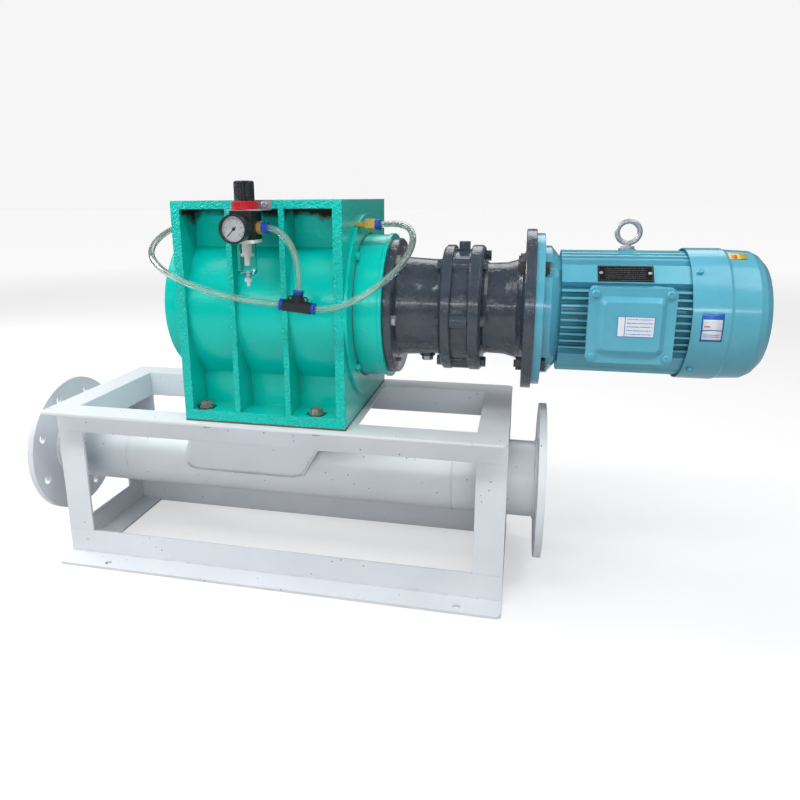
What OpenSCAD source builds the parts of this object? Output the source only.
// Rotary airlock valve: a welded stand carries a conveying pipe with a drop chute, and on the
// stand sits a ribbed casing with a star rotor, driven by a cycloidal reducer and a flange motor.
// The drive axis runs along X, the viewer's side is -Y, and Z is up. The origin lies on the
// floor, at the centre of the pattern of floor holes, straight below the middle of the casing.

/* [Stand] */
// Length of the stand along the drive axis
stand_l = 820; // [780:5:900]
// Depth of the stand over its outward flats
stand_d = 340; // [334:1:380]
// Height of the stand above the floor
stand_h = 300; // [285:5:340]
// How far the stand reaches further to the idle side than to the drive side
stand_shift = 12; // [0:1:20]
// Leg width of the steel angle
angle_w = 50; // [42:1:52]
// Thickness of the steel angle
angle_t = 5; // [4:0.5:7]
// Rounding of the corners of the top frame and of the foot rails
rail_round = 10; // [4:1:20]
// Diameter of the floor holes
floor_hole_d = 12; // [8:1:16]
// Distance between the floor holes along the stand
floor_hole_span = 650; // [500:10:700]
// Distance of the floor holes from the outer edge of the foot flange
floor_hole_inset = 15; // [12:1:20]

/* [Conveying line] */
// Outer diameter of the conveying pipe
pipe_d = 133; // [108:1:136]
// Wall of the conveying pipe
pipe_wall = 4; // [3:0.5:6]
// Height of the pipe's axis above the floor
pipe_z = 178; // [165:1:185]
// How far the pipe reaches past the idle end of the stand
pipe_out_left = 68; // [40:1:120]
// How far the pipe reaches past the drive end of the stand
pipe_out_right = 60; // [40:1:120]
// Diameter of the pipe flanges
line_flange_d = 270; // [258:1:290]
// Thickness of the pipe flanges
line_flange_t = 12; // [8:1:16]
// Bolt circle of the pipe flanges
line_pcd = 220; // [200:1:230]
// Bolt holes in each pipe flange
line_holes = 8; // [4:4:12]
// Diameter of the bolt holes in the pipe flanges
line_hole_d = 18; // [12:1:20]
// Sheet of the drop chute
chute_t = 3; // [2:0.5:4]
// Length of the chute's mouth on the stand
chute_top_l = 255; // [230:1:270]
// Length of the chute's foot on the pipe
chute_foot_l = 240; // [200:1:250]
// How far the chute's foot is drawn along the air stream
chute_rake = 58; // [0:1:80]
// Depth of the chute's mouth
chute_top_d = 206; // [180:1:220]
// Rounding of the chute's lower corners
chute_round = 20; // [8:1:26]

/* [Casing] */
// Length of the casing along the drive axis
casing_l = 280; // [270:2:320]
// Depth of the casing
casing_d = 316; // [310:2:328]
// Height of the casing
casing_h = 360; // [350:2:380]
// Height of the drive axis above the casing's foot
casing_axis_h = 179; // [172:1:186]
// Thickness of the gasket under the casing
gasket_t = 3; // [1:0.5:5]
// Thickness of the casing's end plates
end_plate_t = 15; // [10:1:20]
// Thickness of the casing's foot flange
base_t = 17; // [12:1:22]
// Thickness of the casing's inlet flange
top_t = 13; // [10:1:20]
// Thickness of the ribs between the flanges
rib_t = 9; // [6:1:14]
// Distance between the ribs
rib_pitch = 88; // [70:1:100]
// Outer diameter of the casing's drum
drum_d = 300; // [270:1:306]
// Bore of the rotor chamber
chamber_d = 230; // [200:1:240]
// Length of the inlet and the outlet throat
throat_l = 200; // [160:2:210]
// Depth of the inlet and the outlet throat
throat_d = 150; // [120:2:160]
// Outer depth of the throat walls
neck_d = 210; // [190:1:230]
// Distance between the bolts along the casing's flanges
casing_bolt_span = 196; // [180:1:204]
// Distance of the bolts from the edge of the casing's flanges
casing_bolt_inset = 19; // [14:1:24]
// Diameter of the holes in the casing's flanges
casing_hole_d = 13.5; // [11:0.5:15]

/* [Bearings and rotor] */
// Thickness of the end covers
cover_t = 5; // [4:0.5:10]
// Bolt circle of the end covers
cover_pcd = 258; // [250:1:270]
// Bolts of the end covers
cover_bolt_d = 8; // [6:1:8]
// Diameter of the bearing housing and of the drive adapter
boss_d = 244; // [236:1:248]
// Length of the bearing housing on the idle side
housing_l = 39; // [34:1:50]
// Length of the drive adapter
adapter_l = 46; // [44:1:70]
// Wall of the bearing housing and of the drive adapter
boss_wall = 12; // [8:1:16]
// Diameter of the rotor shaft
shaft_d = 40; // [30:1:45]
// Outer diameter of the shaft bearings
bearing_d = 80; // [72:1:90]
// Width of the shaft bearings
bearing_w = 18; // [14:1:20]
// Number of rotor vanes
vane_count = 8; // [6:1:10]
// Thickness of the rotor vanes
vane_t = 8; // [5:1:12]
// Diameter of the rotor hub
hub_d = 70; // [60:1:90]
// Gap between the rotor and the casing
rotor_gap = 0.3; // [0.2:0.05:0.5]
// Radial play of the turning fits
fit = 0.05; // [0.02:0.01:0.08]

/* [Reducer] */
// Diameter of the reducer's output flange
out_flange_d = 232; // [226:1:240]
// Thickness of the reducer's output flange
out_flange_t = 14; // [10:1:20]
// Bolt circle of the reducer's output flange
out_pcd = 202; // [194:1:208]
// Length of the neck behind the output flange
out_neck_l = 74; // [60:1:90]
// Diameter of the neck at its thin end
out_neck_d = 162; // [150:1:170]
// Diameter of the two bands that clamp the ring gear
band_d = 211; // [200:1:220]
// Width of the band on the output side
out_band_w = 18; // [14:1:24]
// Width of the ring gear between the bands
ring_w = 27; // [20:1:40]
// Diameter of the ring gear
ring_d = 190; // [180:1:196]
// Number of clamping bolts with their lugs
clamp_bolts = 6; // [4:1:8]
// Width of the band on the input side
in_band_w = 21; // [14:1:26]
// Length of the neck on the input side
in_neck_l = 66; // [56:1:80]
// Diameter of the neck on the input side
in_neck_d = 152; // [140:1:160]
// Diameter of the motor adapter
adapter_plate_d = 264; // [256:1:280]
// Thickness of the motor adapter
adapter_plate_t = 16; // [12:1:20]

/* [Motor] */
// Diameter of the motor flange
motor_flange_d = 250; // [244:1:256]
// Thickness of the motor flange
motor_flange_t = 13; // [10:1:16]
// Bolt circle of the motor flange
motor_pcd = 215; // [212:1:225]
// Diameter of the bell behind the motor flange
bell_d = 214; // [190:1:214]
// Length of the bell behind the motor flange
bell_l = 14; // [10:1:20]
// Length of the taper from the bell to the stator frame
bell_taper_l = 12; // [8:1:20]
// Length of the finned stator frame
frame_l = 190; // [170:1:230]
// Diameter over the fins
frame_d = 197; // [190:1:200]
// Diameter of the frame below the fins
core_d = 166; // [150:1:172]
// Distance between the cooling fins
fin_pitch = 11; // [9:0.5:14]
// Thickness of the cooling fins
fin_t = 3.2; // [2:0.2:5]
// Number of fins on each side of each face's middle
fin_half_count = 4; // [3:1:5]
// Bore of the stator
stator_bore = 100; // [90:1:110]
// Air gap between the stator and the motor's rotor
air_gap = 0.4; // [0.3:0.1:1]
// Diameter of the motor shaft
motor_shaft_d = 28; // [24:1:32]
// Gap between the rear shield and the inside of the fan cowl
cowl_gap = 3.5; // [2:0.5:6]
// Length of the fan cowl
cowl_l = 118; // [100:1:130]
// Length of the fan cowl's straight front part
cowl_step = 52; // [40:1:60]
// Sheet of the fan cowl
cowl_t = 2; // [1:0.5:3]
// Diameter of the air holes in the fan cowl
air_hole_d = 9; // [6:0.5:10]
// Blades of the cooling fan
fan_blades = 8; // [6:1:10]
// Length of the terminal box
box_l = 106; // [90:1:112]
// Height of the terminal box
box_h = 98; // [90:1:104]
// Depth of the terminal box in front of its neck on the frame
box_depth = 48; // [38:1:60]
// How far the lid overhangs the terminal box on each side
lid_over = 5; // [2:0.5:8]
// Thickness of the lid's rim
lid_t = 13; // [8:1:16]
// Height of the lid's raised field
pillow_t = 8; // [4:1:12]
// Outer diameter of the eye bolt's ring
eye_d = 42; // [38:1:46]
// Thickness of the eye bolt's ring
eye_t = 8; // [6:0.5:10]

/* [Air set] */
// Distance of the air set from the casing's front
air_out = 32; // [28:1:40]
// Width of the regulator's body
body_w = 38; // [34:1:42]
// Height of the regulator's body
body_h = 42; // [38:1:46]
// Diameter of the regulator's knob
knob_d = 30; // [26:1:34]
// Height of the regulator's knob
knob_h = 29; // [24:1:34]
// Diameter of the knob's lock ring
lock_d = 40; // [36:1:42]
// Height of the knob's lock ring
lock_h = 12; // [8:1:14]
// Diameter of the pressure gauge
gauge_d = 42; // [38:1:46]
// Depth of the pressure gauge
gauge_t = 24; // [20:1:28]
// Diameter of the filter bowl
bowl_d = 29; // [26:1:32]
// Length of the filter bowl
bowl_l = 50; // [46:1:60]
// Outer diameter of the air hoses
hose_d = 10; // [8:1:11]

/* [Hidden] */

$fn = 64;
// Overlap of a cutting tool past the face that it cuts
eps = 1;
// Facets of the balls and rings inside a hull
hull_fn = 32;

// Stand: its ends, the inner edge of its flats and the heights of its rails
stand_x0 = -stand_l / 2 - stand_shift;
stand_x1 = stand_l / 2 - stand_shift;
stand_y = stand_d / 2;
leaf_in = stand_y - angle_w;
leaf_out = leaf_in + angle_t;
side_in = angle_w;

// Heights of the casing and of the drive axis
casing_z0 = stand_h + gasket_t;
casing_z1 = casing_z0 + casing_h;
axis_z = casing_z0 + casing_axis_h;
casing_y = casing_d / 2;
casing_x = casing_l / 2;
casing_bolt_y = casing_y - casing_bolt_inset;
chamber_x = casing_x - end_plate_t;

// Stations along the drive axis
cover_x = casing_x + cover_t;
housing_x = cover_x + housing_l;
adapter_x = cover_x + adapter_l;
out_flange_x = adapter_x + out_flange_t;
out_neck_x = out_flange_x + out_neck_l;
out_band_x = out_neck_x + out_band_w;
ring_x = out_band_x + ring_w;
in_band_x = ring_x + in_band_w;
in_neck_x = in_band_x + in_neck_l;
plate_x = in_neck_x + adapter_plate_t;
flange_x = plate_x + motor_flange_t;
bell_x = flange_x + bell_l;
frame_x0 = bell_x + bell_taper_l;
frame_x1 = frame_x0 + frame_l;
shield_t = 9;
cowl_lap = 6;
cowl_x0 = frame_x1 - cowl_lap;
cowl_x1 = cowl_x0 + cowl_l;

// Pipe: its two ends
pipe_x0 = stand_x0 - pipe_out_left;
pipe_x1 = stand_x1 + pipe_out_right;

// Angle of the first clamping bolt and of the first flange screw, from the front upwards
clamp_turn = -5;

// Middle and size of the terminal box
frame_mid_x = (frame_x0 + frame_x1) / 2;
box_x = frame_mid_x - 4;
box_z = axis_z + 6;
box_in = frame_d / 2 + 5.5;
box_out = box_in + box_depth;
lid_y = box_out + lid_t;

// Air set: its axis, and the heights of its pieces from the bracket's plate down
air_y = -casing_y - air_out;
bracket_t = 2;
bracket_z = casing_z1 - top_t - 2;
body_z0 = bracket_z - body_h;
insert_t = 5;
bowl_z1 = body_z0 - insert_t;
bowl_z0 = bowl_z1 - bowl_l;
// Height of the ports above the body's underside
port_up = 17;
port_z = body_z0 + port_up;
gauge_y = air_y - body_w / 2 - 6;
gauge_face_y = gauge_y - gauge_t;
lock_z = bracket_z + bracket_t;
knob_z = lock_z + lock_h;
// Depth that a hose goes into its release ring
hose_in = 3;
ring_len = 9;

// Air fittings on the end covers: distance in front of the axis and height above it
purge_y = -70;
purge_h = 141;
purge_idle_y = 6;
purge_stub = 16;
purge_hex_l = 16;
purge_ring_x = casing_x + purge_stub + purge_hex_l;
purge_z = axis_z + purge_h;

// Tee: its middle and its tilt
tee_at = [78.5, -195, 507];
tee_tilt = 6;
tee_half = 27.5;
tee_up = 24;
tee_ring_l = 5;

// Routes of the three hoses, point by point
feed_route = [
    [32, -190, 623], [44, -190, 621], [56, -191, 615], [66, -193, 605], [74, -195, 592],
    [79, -196, 577], [82, -197, 560], [82, -196, 543], [81, -195, 528]
];
left_route = [
    [54, -195, 510], [30, -197, 512], [-10, -201, 517], [-50, -202, 525], [-84, -199, 534],
    [-114, -191, 543], [-142, -179, 552], [-168, -161, 562], [-190, -138, 572],
    [-207, -110, 582], [-217, -80, 592], [-220, -52, 602], [-216, -27, 611],
    [-206, -7, 618], [-193, 3, 622], [-178, 6, 623]
];
right_route = [
    [103, -195, 504], [124, -199, 505], [148, -203, 511], [172, -204, 521], [195, -200, 535],
    [214, -191, 550], [230, -177, 566], [240, -158, 583], [243, -135, 598], [239, -112, 611],
    [228, -90, 620], [212, -76, 624], [195, -70, 624], [178, -70, 623]
];
hose_sides = 10;

// A cylinder that lies on the drive axis between two stations
module on_axis(d, x0, x1) {
    translate([x0, 0, axis_z]) rotate([0, 90, 0]) cylinder(d = d, h = x1 - x0);
}

// A turned piece on the drive axis, from points of station and radius
module turned(points) {
    translate([0, 0, axis_z]) rotate([0, 90, 0])
        rotate_extrude() polygon([for (p = points) [p[1], p[0]]]);
}

// Copies on a bolt circle round the drive axis at station x, counted from the front upwards
module round_axis(count, pcd, x, turn = 0) {
    for (i = [0:count - 1])
        translate([x, 0, axis_z]) rotate([-turn - 360 / count * i, 0, 0])
            translate([0, -pcd / 2, 0]) children();
}

// A hexagon head and its shank along +X, with the head's underside at the origin
module bolt_x(size, shank) {
    rotate([0, 90, 0]) cylinder(d = size * 1.75, h = size * 0.62, $fn = 6);
    rotate([0, -90, 0]) cylinder(d = size, h = shank);
}

// A plain rounded plate: four bars and four discs, standing on its lowest face
module round_plate(l, w, t, r) {
    translate([-l / 2 + r, -w / 2, 0]) cube([l - 2 * r, w, t]);
    translate([-l / 2, -w / 2 + r, 0]) cube([l, w - 2 * r, t]);
    for (sx = [-1, 1], sy = [-1, 1])
        translate([sx * (l / 2 - r), sy * (w / 2 - r), 0]) cylinder(r = r, h = t);
}

// ---- Stand -------------------------------------------------------------------------------

// Flat of a long rail with its two outer corners rounded
module long_flat(z) {
    difference() {
        translate([stand_x0, -stand_y, z]) cube([stand_l, angle_w, angle_t]);
        for (s = [0, 1])
            translate([s ? stand_x1 : stand_x0, -stand_y, z - eps]) mirror([s, 0, 0])
                difference() {
                    translate([-eps, -eps, 0])
                        cube([rail_round + eps, rail_round + eps, angle_t + 2 * eps]);
                    translate([rail_round, rail_round, -eps])
                        cylinder(r = rail_round, h = angle_t + 4 * eps);
                }
    }
}

// Top rail along the front: a flat that points outward and a leaf below its inner edge
module long_top_rail() {
    difference() {
        union() {
            long_flat(stand_h - angle_t);
            translate([stand_x0, -leaf_out, stand_h - angle_w]) cube([stand_l, angle_t, angle_w]);
        }
        for (s = [-1, 1])
            translate([-stand_shift + s * casing_bolt_span / 2, -casing_bolt_y, stand_h - angle_t - eps])
                cylinder(d = casing_hole_d, h = angle_t + 2 * eps);
    }
}

module top_rail_front() {
    color("#dfe6ea") long_top_rail();
}

module top_rail_back() {
    color("#dfe6ea") mirror([0, 1, 0]) long_top_rail();
}

// Top rail across the idle end
module cross_top_rail() {
    translate([stand_x0, -leaf_in, stand_h - angle_t]) cube([side_in, 2 * leaf_in, angle_t]);
    translate([stand_x0 + side_in - angle_t, -leaf_in, stand_h - angle_w])
        cube([angle_t, 2 * leaf_in, angle_w]);
}

module top_rail_left() {
    color("#dfe6ea") cross_top_rail();
}

module top_rail_right() {
    color("#dfe6ea") translate([-2 * stand_shift, 0, 0]) mirror([1, 0, 0]) cross_top_rail();
}

// Leg at the idle front corner: its front leaf meets the rails, its side leaf reaches the flat
module corner_leg() {
    translate([stand_x0, -leaf_out, angle_w]) cube([angle_w, angle_t, stand_h - 2 * angle_w]);
    translate([stand_x0, -leaf_in, angle_w])
        cube([angle_t, angle_w - angle_t, stand_h - angle_w - angle_t]);
}

module legs() {
    color("#dfe6ea")
        for (sx = [0, 1], sy = [0, 1])
            translate([-2 * stand_shift * sx, 0, 0]) mirror([sx, 0, 0]) mirror([0, sy, 0]) corner_leg();
}

// Foot rail along the front: a flange on the floor that points outward and a standing leaf
module long_foot_rail() {
    difference() {
        union() {
            long_flat(0);
            translate([stand_x0, -leaf_out, 0]) cube([stand_l, angle_t, angle_w]);
        }
        for (s = [-1, 1])
            translate([s * floor_hole_span / 2, -stand_y + floor_hole_inset, -eps])
                cylinder(d = floor_hole_d, h = angle_t + 2 * eps);
    }
}

module foot_rail_front() {
    color("#dfe6ea") long_foot_rail();
}

module foot_rail_back() {
    color("#dfe6ea") mirror([0, 1, 0]) long_foot_rail();
}

module foot_cross_rails() {
    color("#dfe6ea")
        for (s = [0, 1])
            translate([-2 * stand_shift * s, 0, 0]) mirror([s, 0, 0]) {
                translate([stand_x0, -leaf_in, 0]) cube([angle_w, 2 * leaf_in, angle_t]);
                translate([stand_x0, -leaf_in, 0]) cube([angle_t, 2 * leaf_in, angle_w]);
            }
}

// ---- Conveying line ----------------------------------------------------------------------

// A cylinder that lies on the pipe's axis
module on_pipe(d, x0, x1) {
    translate([x0, 0, pipe_z]) rotate([0, 90, 0]) cylinder(d = d, h = x1 - x0);
}

// Chute: ends of its mouth and of its foot, and their heights
chute_x0 = -chute_top_l / 2 - 22.5;
chute_foot_x0 = chute_x0 + (chute_top_l - chute_foot_l) / 2 - chute_rake;
chute_foot_z = pipe_z - 7;
chute_top_z = stand_h - angle_t;
window_z = pipe_z + 4;
foot_w = pipe_d + 2 * chute_t;

// Tapering body of the chute, drawn in by a wall
module chute_body(wall) {
    hull() {
        translate([chute_x0 + wall, -chute_top_d / 2 + wall, chute_top_z - eps])
            cube([chute_top_l - 2 * wall, chute_top_d - 2 * wall, eps + (wall > 0 ? eps : 0)]);
        for (x = [chute_foot_x0 + chute_round, chute_foot_x0 + chute_foot_l - chute_round])
            translate([x, foot_w / 2 - wall, chute_foot_z + chute_round]) rotate([90, 0, 0])
                cylinder(r = chute_round - wall, h = foot_w - 2 * wall, $fn = hull_fn);
    }
}

module drop_chute() {
    color("#dfe6ea") difference() {
        union() {
            chute_body(0);
            translate([-casing_x - 10, -leaf_in, chute_top_z])
                cube([casing_l + 20, 2 * leaf_in, angle_t]);
        }
        chute_body(chute_t);
        translate([-throat_l / 2, -throat_d / 2, chute_top_z - eps])
            cube([throat_l, throat_d, angle_t + 2 * eps]);
        on_pipe(pipe_d, pipe_x0, pipe_x1);
        translate([chute_foot_x0 + 30, -pipe_d / 2, pipe_z - pipe_d])
            cube([chute_foot_l - 60, pipe_d, pipe_d]);
    }
}

module conveying_pipe() {
    color("#dfe6ea") difference() {
        on_pipe(pipe_d, pipe_x0 + line_flange_t, pipe_x1 - line_flange_t);
        on_pipe(pipe_d - 2 * pipe_wall, pipe_x0, pipe_x1);
        translate([chute_foot_x0 + chute_round, -pipe_d, window_z])
            cube([chute_foot_l - 2 * chute_round, 2 * pipe_d, pipe_d]);
    }
}

module line_flange(x) {
    difference() {
        on_pipe(line_flange_d, x, x + line_flange_t);
        on_pipe(pipe_d - 2 * pipe_wall, x - eps, x + line_flange_t + eps);
        for (i = [0:line_holes - 1])
            translate([x - eps, 0, pipe_z]) rotate([360 / line_holes * (i + 0.5), 0, 0])
                translate([0, -line_pcd / 2, 0]) rotate([0, 90, 0])
                    cylinder(d = line_hole_d, h = line_flange_t + 2 * eps);
    }
}

module pipe_flange_left() {
    color("#dfe6ea") line_flange(pipe_x0);
}

module pipe_flange_right() {
    color("#dfe6ea") line_flange(pipe_x1 - line_flange_t);
}

// ---- Casing ------------------------------------------------------------------------------

module outlet_gasket() {
    color("#8a6a44") difference() {
        translate([-casing_x, -casing_y, stand_h]) cube([casing_l, casing_d, gasket_t]);
        translate([-throat_l / 2, -throat_d / 2, stand_h - eps])
            cube([throat_l, throat_d, gasket_t + 2 * eps]);
        casing_holes(stand_h, gasket_t);
    }
}

// The four bolt holes of a flange of the casing; the lower ones follow the stand
module casing_holes(z, t) {
    for (sx = [-1, 1], sy = [-1, 1])
        translate([-stand_shift + sx * casing_bolt_span / 2, sy * casing_bolt_y, z - eps])
            cylinder(d = casing_hole_d, h = t + 2 * eps);
}

module inlet_holes() {
    for (sx = [-1, 1], sy = [-1, 1])
        translate([sx * casing_bolt_span / 2, sy * casing_bolt_y, casing_z1 - top_t - eps])
            cylinder(d = casing_hole_d, h = top_t + 2 * eps);
}

module casing() {
    color("#16a99b") difference() {
        union() {
            translate([-casing_x, -casing_y, casing_z0]) cube([casing_l, casing_d, base_t]);
            translate([-casing_x, -casing_y, casing_z1 - top_t]) cube([casing_l, casing_d, top_t]);
            for (x = [-casing_x, casing_x - end_plate_t])
                translate([x, -casing_y, casing_z0]) cube([end_plate_t, casing_d, casing_h]);
            for (x = [-rib_pitch / 2, rib_pitch / 2])
                translate([x - rib_t / 2, -casing_y, casing_z0]) cube([rib_t, casing_d, casing_h]);
            on_axis(drum_d, -chamber_x - eps, chamber_x + eps);
            translate([-casing_x + eps, -neck_d / 2, casing_z0])
                cube([casing_l - 2 * eps, neck_d, casing_h]);
        }
        on_axis(chamber_d, -casing_x - eps, casing_x + eps);
        translate([-throat_l / 2, -throat_d / 2, casing_z0 - eps])
            cube([throat_l, throat_d, casing_h + 2 * eps]);
        casing_holes(casing_z0, base_t);
        spot_faces();
        inlet_holes();
    }
}

washer_t = 2.5;
bolt_d = casing_hole_d - 1.5;
washer_d = 2 * bolt_d;
head_h = 7.5;
// Play round a bolt's washer where the foot is spot faced
spot_play = 1;

// Room for the heads of the foot bolts wherever a rib or an end plate comes near them
module spot_faces() {
    for (sx = [-1, 1], sy = [-1, 1])
        translate([-stand_shift + sx * casing_bolt_span / 2, sy * casing_bolt_y, casing_z0 + base_t])
            cylinder(d = washer_d + 2 * spot_play, h = washer_t + head_h + spot_play);
}

// Bolts through the casing's foot and the stand, each with its washer and its nut
module casing_bolts() {
    nut_h = 10;
    color("#b8bcc0")
        for (sx = [-1, 1], sy = [-1, 1])
            translate([-stand_shift + sx * casing_bolt_span / 2, sy * casing_bolt_y, 0]) {
                translate([0, 0, casing_z0 + base_t]) cylinder(d = washer_d, h = washer_t);
                translate([0, 0, casing_z0 + base_t + washer_t])
                    cylinder(d = bolt_d * 1.73, h = head_h, $fn = 6);
                translate([0, 0, stand_h - angle_t - nut_h])
                    cylinder(d = bolt_d, h = nut_h + angle_t + gasket_t + base_t + washer_t);
                translate([0, 0, stand_h - angle_t - nut_h])
                    cylinder(d = bolt_d * 1.73, h = nut_h, $fn = 6);
            }
}

// ---- End covers and bearings ---------------------------------------------------------------

// Depth of the bearing seat behind a cover, and the plate that holds the gland
gland_d = 64;
gland_l = 12;
bearing_x0 = cover_x + 2;
seat_l = bearing_w + 3;
hub_wall = 10;
web_d = boss_d - 2 * boss_wall;

// A turned cover with its spigot in the chamber and the hub of the bearing behind it
module end_cover(fitting_y) {
    difference() {
        union() {
            on_axis(casing_d, casing_x, cover_x);
            on_axis(chamber_d, chamber_x, casing_x);
            on_axis(bearing_d + 2 * hub_wall, cover_x, bearing_x0 + seat_l);
        }
        on_axis(gland_d, chamber_x - eps, chamber_x + gland_l);
        on_axis(shaft_d + 2, chamber_x, cover_x + seat_l);
        on_axis(bearing_d, bearing_x0, bearing_x0 + seat_l + eps);
        round_axis(4, cover_pcd, casing_x - eps, 45)
            rotate([0, 90, 0]) cylinder(d = cover_bolt_d, h = cover_t + 2 * eps);
        translate([casing_x - eps, fitting_y, purge_z]) rotate([0, 90, 0])
            cylinder(d = 16, h = cover_t + 2 * eps);
    }
}

module end_cover_right() {
    color("#16a99b") end_cover(purge_y);
}

module end_cover_left() {
    color("#16a99b") mirror([1, 0, 0]) end_cover(purge_idle_y);
}

// Hexagon bolts on both end covers and on the face of the bearing housing
module end_cover_bolts() {
    color("#17a496") {
        for (s = [0, 1]) mirror([s, 0, 0])
            round_axis(4, cover_pcd, cover_x, 45) bolt_x(cover_bolt_d, cover_t);
        mirror([1, 0, 0]) round_axis(6, boss_d - 44, housing_x, 0) bolt_x(8, 6);
    }
}

module bearing_housing() {
    color("#16a99b") mirror([1, 0, 0]) difference() {
        on_axis(boss_d, cover_x, housing_x);
        on_axis(web_d, cover_x - eps, housing_x - boss_wall);
        round_axis(6, boss_d - 44, housing_x - 6, 0) rotate([0, 90, 0]) cylinder(d = 8, h = 6 + eps);
    }
}

module drive_adapter() {
    color("#16a99b") difference() {
        union() {
            on_axis(boss_d, cover_x, adapter_x);
            on_axis(boss_d + 4, adapter_x - 6, adapter_x);
        }
        on_axis(web_d, cover_x - eps, adapter_x - boss_wall);
        on_axis(out_pcd - 40, adapter_x - boss_wall - eps, adapter_x + eps);
        round_axis(6, out_pcd, adapter_x - boss_wall - eps, clamp_turn)
            rotate([0, 90, 0]) cylinder(d = 10, h = boss_wall + 2 * eps);
    }
}

// Packing glands that seal the shaft in both covers
module shaft_glands() {
    color("#6d6f70")
        for (s = [0, 1]) mirror([s, 0, 0]) difference() {
            on_axis(gland_d, chamber_x, chamber_x + gland_l);
            on_axis(shaft_d + 2 * fit, chamber_x - eps, chamber_x + gland_l + eps);
        }
}

// The bearings: a ring in each cover's hub and a ring on the shaft, with the balls' groove between
race_d = (bearing_d + shaft_d) / 2;

module bearing_outer_rings() {
    color("#c9cdd1")
        for (s = [0, 1]) mirror([s, 0, 0]) difference() {
            on_axis(bearing_d, bearing_x0, bearing_x0 + bearing_w);
            on_axis(race_d + 2 * fit, bearing_x0 - eps, bearing_x0 + bearing_w + eps);
        }
}

module bearing_inner_rings() {
    color("#c9cdd1")
        for (s = [0, 1]) mirror([s, 0, 0]) difference() {
            on_axis(race_d, bearing_x0, bearing_x0 + bearing_w);
            on_axis(shaft_d, bearing_x0 - eps, bearing_x0 + bearing_w + eps);
        }
}

// ---- Rotor ---------------------------------------------------------------------------------

shaft_x0 = -bearing_x0 - bearing_w - 6;
coupling_x0 = bearing_x0 + bearing_w;
coupling_x1 = out_flange_x + 10;
shaft_gap_x = adapter_x;

module rotor_shaft() {
    color("#9da3a8") on_axis(shaft_d, shaft_x0, shaft_gap_x);
}

// Star rotor: a hub with flat vanes whose tips are turned to the chamber
module star_rotor() {
    rotor_x = chamber_x - rotor_gap;
    tip_d = chamber_d - 2 * rotor_gap;
    color("#9da3a8") difference() {
        intersection() {
            on_axis(tip_d, -rotor_x, rotor_x);
            union() {
                on_axis(hub_d, -rotor_x, rotor_x);
                for (i = [0:vane_count - 1])
                    translate([0, 0, axis_z]) rotate([360 / vane_count * (i + 0.5), 0, 0])
                        translate([-rotor_x, -vane_t / 2, 0])
                            cube([2 * rotor_x, vane_t, tip_d / 2 + eps]);
            }
        }
        on_axis(shaft_d, -rotor_x - eps, rotor_x + eps);
    }
}

module shaft_coupling() {
    color("#55595c") difference() {
        union() {
            on_axis(shaft_d * 1.75, coupling_x0, shaft_gap_x - 1);
            on_axis(shaft_d * 1.75, shaft_gap_x + 1, coupling_x1);
            on_axis(shaft_d * 1.5, shaft_gap_x - 1, shaft_gap_x + 1);
        }
        on_axis(shaft_d, coupling_x0 - eps, coupling_x1 + eps);
    }
}

module reducer_shaft() {
    color("#9da3a8") on_axis(shaft_d, shaft_gap_x, out_neck_x);
}

// ---- Reducer -------------------------------------------------------------------------------

// Hollow of the output housing round the coupling, and the boss of the drain below the neck
hollow_d = shaft_d * 1.75 + 6;
drain_x = out_flange_x + 45;
drain_z = axis_z - out_neck_d / 2 - 5;
plug_d = 20;
plug_h = 8;

module reducer_output_housing() {
    color("#454d56") difference() {
        union() {
            turned([
                [adapter_x, 0], [adapter_x, out_flange_d / 2 - 1], [adapter_x + 1, out_flange_d / 2],
                [out_flange_x - 2, out_flange_d / 2], [out_flange_x, out_flange_d / 2 - 2],
                [out_flange_x, out_neck_d / 2 + 10], [out_flange_x + 3, out_neck_d / 2 + 5],
                [out_flange_x + 12, out_neck_d / 2 + 3], [out_neck_x - 15, out_neck_d / 2],
                [out_neck_x - 4, out_neck_d / 2 + 1], [out_neck_x, out_neck_d / 2 + 3],
                [out_neck_x, band_d / 2 - 4], [out_neck_x + 4, band_d / 2],
                [out_band_x - 2, band_d / 2], [out_band_x, band_d / 2 - 2], [out_band_x, 0]
            ]);
            translate([drain_x, 0, drain_z]) cylinder(d = plug_d + 7, h = 20);
        }
        on_axis(hollow_d, adapter_x - eps, coupling_x1 + 3);
        on_axis(shaft_d + 2 * fit, coupling_x1 + 2, out_neck_x + 0.5);
        round_axis(6, out_pcd, adapter_x - eps, clamp_turn)
            rotate([0, 90, 0]) cylinder(d = 10, h = out_flange_t + 2 * eps);
        round_axis(clamp_bolts, clamp_pcd, out_neck_x - eps, clamp_turn)
            rotate([0, 90, 0]) cylinder(d = clamp_d, h = out_band_w + 2 * eps);
    }
}

clamp_d = 10;
clamp_pcd = band_d - 24;
lug_w = 24;
lift_w = 22;
lift_h = 17;

// Places on the clamping bolts' circle in the section of the ring gear
module round_section() {
    for (i = [0:clamp_bolts - 1])
        rotate(-90 - clamp_turn - 360 / clamp_bolts * i) translate([clamp_pcd / 2, 0]) children();
}

// Ring gear between the bands, with a raised lug along each clamping bolt
module reducer_ring() {
    color("#454d56") {
        translate([out_band_x, 0, axis_z]) rotate([0, 90, 0]) linear_extrude(ring_w) difference() {
            union() {
                circle(d = ring_d);
                round_section() circle(d = lug_w);
            }
            round_section() circle(d = clamp_d);
        }
        translate([out_band_x + 5, -lift_w / 2, axis_z + ring_d / 2 - 1])
            cube([ring_w - 10, lift_w, lift_h]);
    }
}

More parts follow.
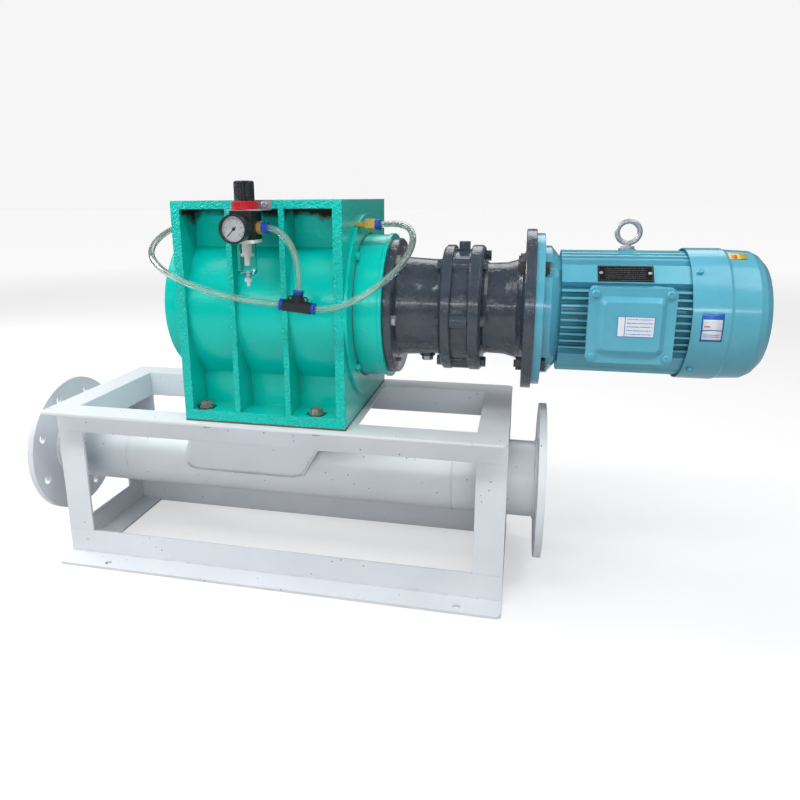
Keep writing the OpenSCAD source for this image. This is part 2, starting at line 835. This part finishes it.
module reducer_input_housing() {
    color("#454d56") difference() {
        turned([
            [ring_x, 0], [ring_x, band_d / 2 - 2], [ring_x + 2, band_d / 2],
            [in_band_x - 4, band_d / 2], [in_band_x, band_d / 2 - 4],
            [in_band_x, in_neck_d / 2 + 6], [in_band_x + 3, in_neck_d / 2 + 2],
            [in_band_x + 8, in_neck_d / 2], [in_neck_x - 30, in_neck_d / 2 + 1],
            [in_neck_x - 12, in_neck_d / 2 + 6], [in_neck_x - 4, in_neck_d / 2 + 13],
            [in_neck_x, in_neck_d / 2 + 20],
            [in_neck_x, adapter_plate_d / 2 - 1], [in_neck_x + 1, adapter_plate_d / 2],
            [plate_x - 1, adapter_plate_d / 2], [plate_x, adapter_plate_d / 2 - 1], [plate_x, 0]
        ]);
        on_axis(motor_shaft_d + 2 * fit, in_band_x, plate_x + eps);
        round_axis(clamp_bolts, clamp_pcd, ring_x - eps, clamp_turn)
            rotate([0, 90, 0]) cylinder(d = clamp_d, h = in_band_w + 2 * eps);
        round_axis(4, motor_pcd, in_neck_x - eps, 45)
            rotate([0, 90, 0]) cylinder(d = clamp_d + 2, h = adapter_plate_t + 2 * eps);
    }
}

// Long bolts through both bands and the ring gear, with a head and a nut
module reducer_clamp_bolts() {
    head_d = 1.8 * clamp_d;
    head_t = 0.7 * clamp_d;
    nut_t = 0.8 * clamp_d;
    grip_l = in_band_x - out_neck_x;
    color("#3a4149")
        round_axis(clamp_bolts, clamp_pcd, out_neck_x - head_t, clamp_turn) rotate([0, 90, 0]) {
            cylinder(d = head_d, h = head_t, $fn = 6);
            translate([0, 0, head_t]) cylinder(d = clamp_d, h = grip_l + nut_t / 2);
            translate([0, 0, head_t + grip_l]) cylinder(d = head_d, h = nut_t, $fn = 6);
        }
}

// Screws of the output flange, and the drain plug below the neck
module reducer_flange_screws() {
    color("#c4c8cc") {
        round_axis(6, out_pcd, out_flange_x, clamp_turn) bolt_x(10, out_flange_t + 8);
        translate([drain_x, 0, drain_z - plug_h]) cylinder(d = plug_d, h = plug_h, $fn = 6);
    }
}

// ---- Motor ---------------------------------------------------------------------------------

module motor_endshield() {
    color("#55a8c4") difference() {
        turned([
            [plate_x, 0], [plate_x, motor_flange_d / 2], [flange_x - 1, motor_flange_d / 2],
            [flange_x, motor_flange_d / 2 - 1], [flange_x, bell_d / 2 - 2],
            [bell_x - 3, bell_d / 2 - 2], [bell_x, bell_d / 2 - 6], [frame_x0, core_d / 2 + 3],
            [frame_x0, 0]
        ]);
        on_axis(motor_shaft_d + 2 * fit, plate_x - eps, frame_x0 + eps);
        round_axis(4, motor_pcd, plate_x - eps, 45)
            rotate([0, 90, 0]) cylinder(d = clamp_d + 2, h = motor_flange_t + 2 * eps);
        round_axis(4, motor_pcd, flange_x, 45)
            rotate([0, 90, 0]) cylinder(d = 30, h = bell_l + bell_taper_l + eps);
    }
}

// Section of the stator frame: fins on four sides and a plain land at each corner
module frame_section() {
    intersection() {
        circle(d = frame_d);
        union() {
            circle(d = core_d);
            for (i = [-fin_half_count:fin_half_count]) {
                translate([-frame_d / 2, i * fin_pitch - fin_t / 2]) square([frame_d, fin_t]);
                translate([i * fin_pitch - fin_t / 2, -frame_d / 2]) square([fin_t, frame_d]);
            }
            for (a = [45:90:315])
                rotate(a) translate([0, -land_w / 2]) square([frame_d / 2 - land_cut, land_w]);
        }
    }
}

// Width of the plain lands at the frame's corners, and how far they stay below the fins
land_w = 34;
land_cut = 2;

module motor_frame() {
    color("#55a8c4") difference() {
        union() {
            translate([frame_x0, 0, axis_z]) rotate([0, 90, 0]) rotate(90)
                linear_extrude(frame_l) frame_section();
            translate([eye_x - 12, -12, axis_z + core_d / 2 - 4])
                cube([24, 24, eye_seat - core_d / 2 + 4]);
            translate([box_x - box_l / 2 + 8, -box_in, box_z - box_h / 2 + 8])
                cube([box_l - 16, box_in - core_d / 2 + 10, box_h - 16]);
        }
        on_axis(stator_bore, frame_x0 - eps, frame_x1 + eps);
    }
}

// Rear shield inside the cowl, and the outside of the cowl
shield_d = frame_d - 2;
cowl_d = shield_d + 2 * (cowl_gap + cowl_t);
// Eye bolt: its place along the frame and the height of its seat above the drive axis
eye_x = frame_mid_x + 6;
eye_seat = frame_d / 2 + 2.5;

module motor_rear_shield() {
    color("#55a8c4") difference() {
        union() {
            on_axis(shield_d, frame_x1, frame_x1 + shield_t);
            intersection() {
                on_axis(cowl_d - 2 * cowl_t, frame_x1, frame_x1 + shield_t);
                for (a = [45, 135])
                    translate([frame_x1, 0, axis_z]) rotate([a, 0, 0])
                        translate([0, -cowl_d / 2, -9]) cube([shield_t, cowl_d, 18]);
            }
        }
        on_axis(motor_shaft_d + 2 * fit, frame_x1 - eps, frame_x1 + shield_t + eps);
    }
}

// Fan cowl: a turned shell with rows of air holes in its end
module fan_cowl() {
    r = cowl_d / 2;
    step_x = cowl_x0 + cowl_step;
    color("#55a8c4") difference() {
        turned([
            [cowl_x0, r - cowl_t], [cowl_x0, r], [step_x, r], [step_x + 4, r - 2],
            [cowl_x1 - 26, r - 4], [cowl_x1 - 16, r - 9], [cowl_x1 - 6, r - 20], [cowl_x1, r - 38],
            [cowl_x1, 0], [cowl_x1 - cowl_t, 0], [cowl_x1 - cowl_t, r - 38 - cowl_t / 2],
            [cowl_x1 - 6 - cowl_t, r - 20 - cowl_t], [cowl_x1 - 17, r - 9 - cowl_t],
            [cowl_x1 - 27, r - 4 - cowl_t], [step_x + 4 - cowl_t, r - 2 - cowl_t],
            [step_x - cowl_t, r - cowl_t]
        ]);
        for (k = [1:4])
            round_axis(6 * k, 27 * k, cowl_x1 - cowl_t - eps, 15 * k)
                rotate([0, 90, 0]) cylinder(d = air_hole_d, h = cowl_t + 2 * eps);
    }
}

fan_x0 = frame_x1 + shield_t + 14;
fan_w = 40;

// Motor shaft with the motor's rotor on it
module motor_shaft() {
    color("#9da3a8") union() {
        on_axis(motor_shaft_d, in_band_x + 3, fan_x0 + fan_w - 6);
        on_axis(stator_bore - 2 * air_gap, frame_x0 + 22, frame_x1 - 22);
    }
}

module cooling_fan() {
    blade_in = motor_shaft_d / 2 + 4;
    blade_t = 3;
    color("#30343a") difference() {
        union() {
            on_axis(motor_shaft_d + 18, fan_x0, fan_x0 + fan_w - 4);
            on_axis(cowl_d - 60, fan_x0, fan_x0 + 3);
            for (i = [0:fan_blades - 1])
                translate([fan_x0, 0, axis_z]) rotate([360 / fan_blades * i, 0, 0])
                    translate([0, blade_in, -blade_t / 2])
                        cube([fan_w - 8, cowl_d / 2 - 18 - blade_in, blade_t]);
        }
        on_axis(motor_shaft_d, fan_x0 - eps, fan_x0 + fan_w + eps);
    }
}

// Terminal box, open to the front below its lid, with a cable entry in its underside
cable_d = 25;
box_wall = 5;

module terminal_box() {
    color("#55a8c4") difference() {
        translate([box_x, -box_in, box_z]) rotate([90, 0, 0])
            round_plate(box_l, box_h, box_out - box_in, 8);
        translate([box_x - box_l / 2 + box_wall, -box_out - eps, box_z - box_h / 2 + 22])
            cube([box_l - 2 * box_wall, box_out - box_in - box_wall + eps, box_h - 22 - box_wall]);
        translate([box_x, -(box_in + box_out) / 2, box_z - box_h / 2 - eps])
            cylinder(d = cable_d, h = 22 + 2 * eps);
    }
}

// Lid with a raised field whose edges slope
module terminal_lid() {
    l = box_l + 2 * lid_over;
    h = box_h + 2 * lid_over;
    inset = 22;
    slope = 5;
    color("#5db2ce") translate([box_x, -box_out, box_z]) rotate([90, 0, 0]) difference() {
        union() {
            round_plate(l, h, lid_t, 10);
            hull() for (s = [0, 1], sx = [-1, 1], sy = [-1, 1])
                translate([sx * (l / 2 - inset - s * slope), sy * (h / 2 - inset - s * slope), 0])
                    translate([0, 0, lid_t - 2 * (1 - s)])
                        cylinder(r = 9 - s * 2, h = s ? pillow_t : 2, $fn = hull_fn);
        }
        for (sx = [-1, 1], sy = [-1, 1])
            translate([sx * (l / 2 - 9), sy * (h / 2 - 9), -eps]) cylinder(d = 6, h = lid_t + 2 * eps);
    }
}

// Screws of the lid and of the fan cowl, and the bolts of the motor flange
module motor_screws() {
    l = box_l + 2 * lid_over;
    h = box_h + 2 * lid_over;
    color("#b8bcc0") {
        for (sx = [-1, 1], sy = [-1, 1])
            translate([box_x + sx * (l / 2 - 9), -lid_y, box_z + sy * (h / 2 - 9)]) rotate([90, 0, 0]) {
                cylinder(d = 11, h = 3);
                translate([0, 0, -lid_t]) cylinder(d = 6, h = lid_t);
            }
        for (a = [45:90:315])
            translate([frame_x1 + shield_t / 2, 0, axis_z]) rotate([a, 0, 0])
                translate([0, 0, cowl_d / 2]) cylinder(d = 9, h = 4);
        round_axis(4, motor_pcd, flange_x, 45) {
            bolt_x(12, motor_flange_t + adapter_plate_t);
            rotate([0, -90, 0]) translate([0, 0, motor_flange_t + adapter_plate_t]) {
                cylinder(d = 21, h = 9, $fn = 6);
                cylinder(d = 12, h = 12);
            }
        }
    }
}

// Bare plate on the upper front land of the frame, with its two rivets
module nameplate() {
    plate_l = 80;
    plate_w = 30;
    plate_t = 1.2;
    plate_y = -(frame_d / 2 - land_cut) - plate_t;
    color("#15171a") translate([frame_mid_x - 3, 0, axis_z]) rotate([-45, 0, 0]) {
        translate([-plate_l / 2, plate_y, -plate_w / 2]) cube([plate_l, plate_t, plate_w]);
        for (s = [-1, 1])
            translate([s * (plate_l / 2 - 5), plate_y, 0]) rotate([90, 0, 0])
                cylinder(d = 5, h = plate_t);
    }
}

module eye_bolt() {
    ring_z = axis_z + eye_seat + 5 + eye_d / 2;
    color("#c4c8cc") {
        translate([eye_x, 0, ring_z]) rotate([90, 0, 0])
            rotate_extrude() translate([(eye_d - eye_t) / 2, 0]) circle(d = eye_t, $fn = 24);
        translate([eye_x, 0, axis_z + eye_seat]) cylinder(d = 21, h = 4);
        translate([eye_x, 0, axis_z + eye_seat + 4]) cylinder(d = 11, h = 5);
    }
}

// ---- Air set -------------------------------------------------------------------------------

// Bent plate on the front edge of the inlet flange, with its screw
bracket_x0 = -22;
bracket_l = 52;
bracket_reach = air_out + 17;

module regulator_bracket() {
    color("#c9cdd1") {
        difference() {
            union() {
                translate([bracket_x0, -casing_y - bracket_t, bracket_z])
                    cube([bracket_l, bracket_t, top_t + 2]);
                translate([bracket_x0, -casing_y - bracket_reach, bracket_z])
                    cube([bracket_l, bracket_reach, bracket_t]);
            }
            translate([0, air_y, bracket_z - eps]) cylinder(d = neck_bore, h = bracket_t + 2 * eps);
        }
        translate([20, -casing_y - bracket_t, casing_z1 - top_t / 2]) rotate([90, 0, 0])
            cylinder(d = 10, h = 4, $fn = 6);
    }
}

neck_bore = 28;

// Regulator body with its ports, its bonnet's neck and the stem that carries the knob
module regulator_body() {
    color("#16181b") difference() {
        union() {
            translate([0, air_y, body_z0]) round_plate(body_w, body_w, body_h, 5);
            translate([0, air_y, bracket_z]) cylinder(d = neck_bore, h = bracket_t);
            translate([0, air_y, lock_z]) cylinder(d = lock_d - 12, h = lock_h);
            translate([0, air_y, knob_z]) cylinder(d = 12, h = knob_h - 8);
            translate([0, gauge_y + 6, port_z]) rotate([90, 0, 0]) cylinder(d = 14, h = 6);
        }
        translate([-body_w / 2 - eps, air_y, port_z]) rotate([0, 90, 0])
            cylinder(d = 11.8, h = 12 + eps);
        translate([body_w / 2 - outlet_stub, air_y, port_z]) rotate([0, 90, 0])
            cylinder(d = stub_d, h = outlet_stub + eps);
    }
}

module lock_ring() {
    color("#c8242f") difference() {
        translate([0, air_y, lock_z]) cylinder(d = lock_d, h = lock_h);
        translate([0, air_y, lock_z - eps]) cylinder(d = lock_d - 12, h = lock_h + 2 * eps);
        for (i = [0:23])
            translate([0, air_y, lock_z + 3]) rotate(15 * i) translate([lock_d / 2, 0, 0])
                cylinder(d = 2.2, h = lock_h - 6);
    }
}

module regulator_knob() {
    color("#1c1f23") difference() {
        union() {
            translate([0, air_y, knob_z + 0.2]) cylinder(d = knob_d, h = knob_h - 2.2);
            translate([0, air_y, knob_z + knob_h - 2]) cylinder(d1 = knob_d, d2 = knob_d - 4, h = 2);
        }
        translate([0, air_y, knob_z - eps]) cylinder(d = 12 + 2 * fit, h = knob_h - 8 + eps + fit);
        for (i = [0:17])
            translate([0, air_y, knob_z + 3]) rotate(20 * i) translate([knob_d / 2 + 0.4, 0, 0])
                cylinder(d = 2.4, h = knob_h + 2);
    }
}

// Pressure gauge: a cup with a rim, its stem, its dial and the needle's pin
gauge_wall = 2.5;
dial_y = gauge_face_y + 7;

module pressure_gauge() {
    color("#101214") translate([0, gauge_y, port_z]) rotate([90, 0, 0]) difference() {
        union() {
            cylinder(d = gauge_d - 3, h = gauge_t);
            translate([0, 0, gauge_t - 7]) cylinder(d = gauge_d, h = 7);
        }
        translate([0, 0, gauge_t - 7]) cylinder(d = gauge_d - 2 * gauge_wall, h = 7 + eps);
    }
    color("#eceef0") translate([0, dial_y, port_z]) rotate([90, 0, 0]) {
        cylinder(d = gauge_d - 2 * gauge_wall, h = 0.8);
        cylinder(d = 2, h = 3);
    }
}

// Needle that points to the lower left at zero
module gauge_needle() {
    color("#101214") translate([0, dial_y - 1.8, port_z]) rotate([90, 0, 0]) difference() {
        union() {
            cylinder(d = 5, h = 0.8);
            rotate(225) translate([-5, -0.6, 0]) cube([19, 1.2, 0.8]);
        }
        translate([0, 0, -eps]) cylinder(d = 2 + 2 * fit, h = 3);
    }
}

module gauge_lens() {
    color("#dfeaee", 0.4) translate([0, gauge_face_y + 2.4, port_z]) rotate([90, 0, 0])
        cylinder(d = gauge_d - 2 * gauge_wall, h = 1.2);
}

// Cream band below the body, with the filter element that hangs in the bowl
module filter_insert() {
    color("#e6e2d2") {
        translate([0, air_y, bowl_z1]) round_plate(body_w, body_w, insert_t, 5);
        translate([0, air_y, bowl_z1 - 16]) cylinder(d = 15, h = 16);
        translate([0, air_y, bowl_z1 - 20]) cylinder(d = 20, h = 4);
        translate([0, air_y, bowl_z1 - 34]) cylinder(d = 9, h = 14);
    }
}

module filter_bowl() {
    r = bowl_d / 2;
    wall = 2;
    color("#dfeaee", 0.35) translate([0, air_y, 0]) difference() {
        rotate_extrude() polygon([
            [0, bowl_z0], [6, bowl_z0], [r - 2, bowl_z0 + 4], [r, bowl_z0 + 8], [r, bowl_z1],
            [r - wall, bowl_z1], [r - wall, bowl_z0 + 9], [r - 2 - wall, bowl_z0 + 6],
            [5, bowl_z0 + 3], [0, bowl_z0 + 3]
        ]);
        translate([0, 0, bowl_z0 - eps]) cylinder(d = 6 + 2 * fit, h = 5);
    }
}

module drain_cock() {
    color("#d6d9dc") translate([0, air_y, 0]) union() {
        translate([0, 0, bowl_z0 - 15]) cylinder(d = 5, h = 15);
        translate([0, 0, bowl_z0 - 8]) cylinder(d = 11, h = 5, $fn = 12);
        translate([0, 0, bowl_z0 - 1]) cylinder(d = 6, h = 6);
    }
}

// ---- Air fittings, tee and hoses -----------------------------------------------------------

// A brass push-in fitting along +X from the origin: stub, hexagon and socket for the ring
module fitting(stub, hex_l) {
    rotate([0, 90, 0]) cylinder(d = stub_d, h = stub);
    translate([stub, 0, 0]) rotate([0, 90, 0]) cylinder(d = hose_d * 1.9, h = hex_l, $fn = 6);
}

// A release ring round a hose, along +X from the origin
module release_ring(l, d) {
    rotate([0, 90, 0]) difference() {
        union() {
            cylinder(d = d, h = l - 2);
            translate([0, 0, l - 2]) cylinder(d = d + 2, h = 2);
        }
        translate([0, 0, -eps]) cylinder(d = hose_d + 2 * fit, h = l + 2 * eps);
    }
}

// Fitting in the regulator's outlet: its stub in the body and its hexagon
outlet_stub = 8;
outlet_hex_l = 7;
stub_d = 9.6;
ring_d_air = hose_d + 6;

module air_fittings() {
    color("#c7a04a") {
        translate([body_w / 2 - outlet_stub, air_y, port_z]) fitting(outlet_stub, outlet_hex_l);
        translate([casing_x, purge_y, purge_z]) fitting(purge_stub, purge_hex_l);
        translate([-casing_x, purge_idle_y, purge_z]) mirror([1, 0, 0]) fitting(purge_stub, purge_hex_l);
    }
}

module release_rings() {
    color("#1f4fc0") {
        translate([body_w / 2 + outlet_hex_l, air_y, port_z]) release_ring(ring_len, ring_d_air);
        translate([purge_ring_x, purge_y, purge_z]) release_ring(ring_len, ring_d_air);
        translate([-purge_ring_x, purge_idle_y, purge_z]) mirror([1, 0, 0])
            release_ring(ring_len, ring_d_air);
    }
}

// Black tee with its two ears, tilted as the hoses hold it
module tee_fitting() {
    half = tee_half - tee_ring_l;
    up = tee_up - tee_ring_l;
    color("#16181b") translate(tee_at) rotate([0, tee_tilt, 0]) difference() {
        union() {
            translate([-half, 0, 0]) rotate([0, 90, 0]) cylinder(d = hose_d + 8, h = 2 * half);
            cylinder(d = hose_d + 6, h = up);
            for (s = [-1, 1])
                translate([s * 11, 0, 11]) rotate([90, 0, 0])
                    translate([0, 0, -2]) cylinder(d = 10, h = 4);
        }
        for (s = [-1, 1])
            translate([s * 12, 3, 12]) rotate([90, 0, 0]) cylinder(d = 4.5, h = 6);
        rotate([0, -90, 0]) cylinder(d = hose_d + 2 * fit, h = 4 * half, center = true);
        cylinder(d = hose_d + 2 * fit, h = up + eps);
    }
}

module tee_rings() {
    color("#1f4fc0") translate(tee_at) rotate([0, tee_tilt, 0]) {
        for (s = [0, 1]) mirror([s, 0, 0])
            translate([tee_half - tee_ring_l, 0, 0]) release_ring(tee_ring_l, ring_d_air);
        translate([0, 0, tee_up - tee_ring_l]) rotate([0, -90, 0]) release_ring(tee_ring_l, ring_d_air);
    }
}

// A smooth curve through the route's points: each stretch is cut in two on a cubic
function at(p, i) = p[max(0, min(len(p) - 1, i))];
function on_curve(p, i, t) =
    let (a = at(p, i - 1), b = at(p, i), c = at(p, i + 1), d = at(p, i + 2))
    (2 * b + (c - a) * t + (2 * a - 5 * b + 4 * c - d) * t * t
        + (3 * b - a - 3 * c + d) * t * t * t) / 2;
function smooth(p) = concat([for (i = [0:len(p) - 2], t = [0, 0.5]) on_curve(p, i, t)], [p[len(p) - 1]]);
function unit(v) = v / norm(v);
// Direction of the curve at a ring, and the two directions across it
function along(p, i) = unit(at(p, i + 1) - at(p, i - 1));
hose_ref = unit([0, -0.8, 0.6]);
function across(t) = unit(cross(hose_ref, t));

// A round hose swept along a route, as one solid of rings
module hose(route) {
    p = smooth(route);
    n = len(p);
    m = hose_sides;
    points = [for (i = [0:n - 1], k = [0:m - 1])
        let (t = along(p, i), u = across(t), v = cross(t, u), a = 360 / m * k)
        p[i] + hose_d / 2 * (cos(a) * u + sin(a) * v)];
    sides = [for (i = [0:n - 2], k = [0:m - 1])
        [i * m + k, (i + 1) * m + k, (i + 1) * m + (k + 1) % m, i * m + (k + 1) % m]];
    caps = [[for (k = [0:m - 1]) k], [for (k = [m - 1:-1:0]) (n - 1) * m + k]];
    polyhedron(points, concat(sides, caps), convexity = 8);
}

module hose_feed() {
    color("#cfd8d2", 0.7) hose(feed_route);
}

module hose_left() {
    color("#cfd8d2", 0.7) hose(left_route);
}

module hose_right() {
    color("#cfd8d2", 0.7) hose(right_route);
}

top_rail_front();
top_rail_back();
top_rail_left();
top_rail_right();
legs();
foot_rail_front();
foot_rail_back();
foot_cross_rails();
conveying_pipe();
pipe_flange_left();
pipe_flange_right();
drop_chute();
outlet_gasket();
casing();
casing_bolts();
end_cover_left();
end_cover_right();
end_cover_bolts();
bearing_housing();
drive_adapter();
shaft_glands();
bearing_outer_rings();
bearing_inner_rings();
rotor_shaft();
star_rotor();
shaft_coupling();
reducer_shaft();
reducer_output_housing();
reducer_ring();
reducer_input_housing();
reducer_clamp_bolts();
reducer_flange_screws();
motor_endshield();
motor_frame();
motor_rear_shield();
fan_cowl();
motor_shaft();
cooling_fan();
terminal_box();
terminal_lid();
motor_screws();
nameplate();
eye_bolt();
regulator_bracket();
regulator_body();
lock_ring();
regulator_knob();
pressure_gauge();
gauge_needle();
gauge_lens();
filter_insert();
filter_bowl();
drain_cock();
air_fittings();
release_rings();
tee_fitting();
tee_rings();
hose_feed();
hose_left();
hose_right();
